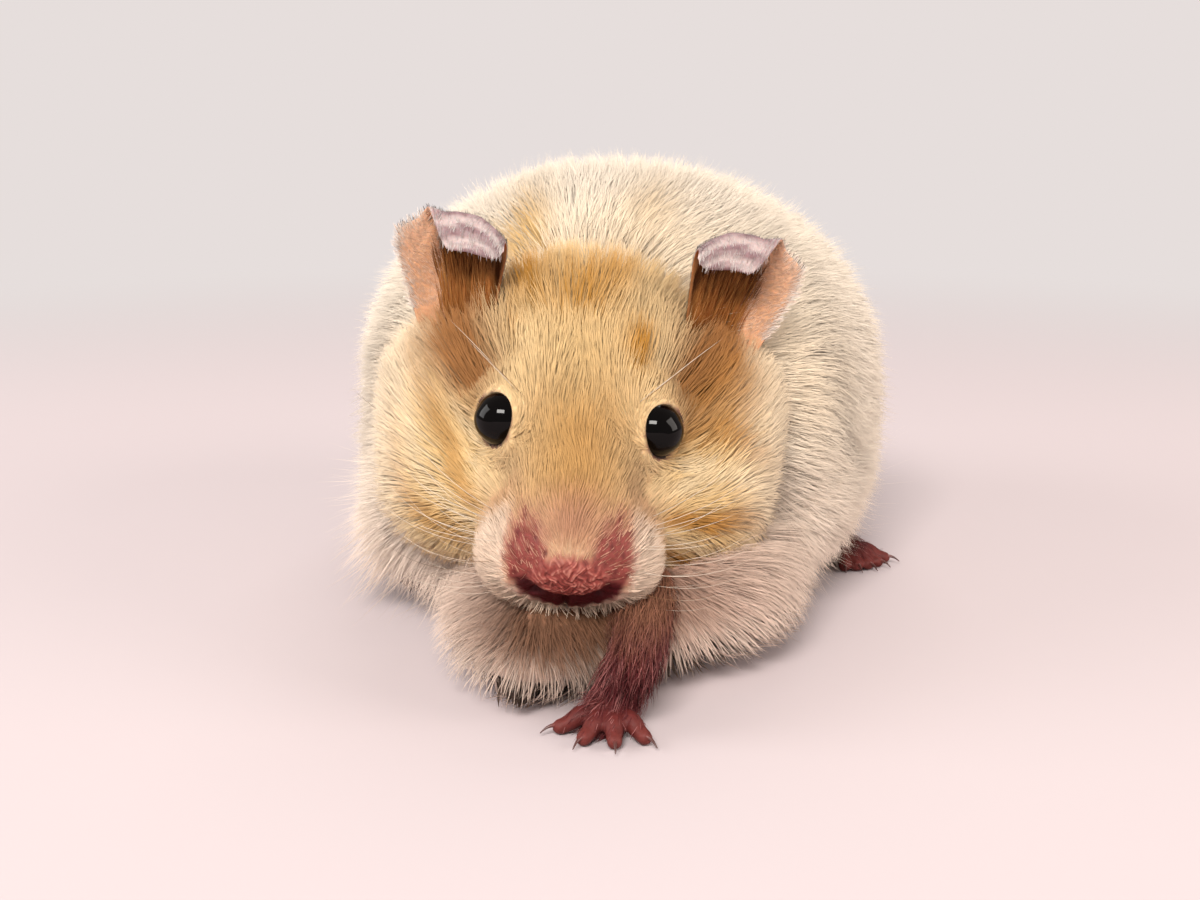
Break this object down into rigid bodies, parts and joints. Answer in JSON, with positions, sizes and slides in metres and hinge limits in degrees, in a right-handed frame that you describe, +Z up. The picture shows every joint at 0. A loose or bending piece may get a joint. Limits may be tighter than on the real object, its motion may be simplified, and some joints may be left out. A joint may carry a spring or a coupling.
{
  "type": "syrian hamster",
  "caption": "Life-size long-haired cream Syrian hamster, walking low with its head down and one forepaw reaching forward.",
  "frame": {"origin": "on the floor, under the middle of the animal's box", "axes": "+Z up, the animal faces -Y, its left side is towards +X"},
  "size_m": [0.0838, 0.1292, 0.0625],
  "materials": {
    "coat_cream": "soft fur",
    "coat_gold": "soft fur",
    "skin_pink": "bare skin",
    "ear_skin": "thin bare skin",
    "eye": "wet gloss",
    "claw_horn": "dull horn"
  },
  "bodies": {
    "root": {"head": "coat_gold", "muzzle": "skin_pink", "lower_jaw": "coat_cream", "nose": "skin_pink", "eye_left": "eye", "eye_right": "eye", "ear_left": "ear_skin", "ear_right": "ear_skin", "leg_fore_left": "skin_pink", "leg_fore_right": "skin_pink", "leg_hind_left": "skin_pink", "leg_hind_right": "skin_pink", "thigh_left": "coat_cream", "thigh_right": "coat_cream", "shoulder_left": "coat_cream", "shoulder_right": "coat_cream", "breast": "coat_cream", "neck": "coat_cream", "trunk": "coat_cream", "rump": "coat_cream", "tail": "coat_cream"}
  },
  "joints": []
}
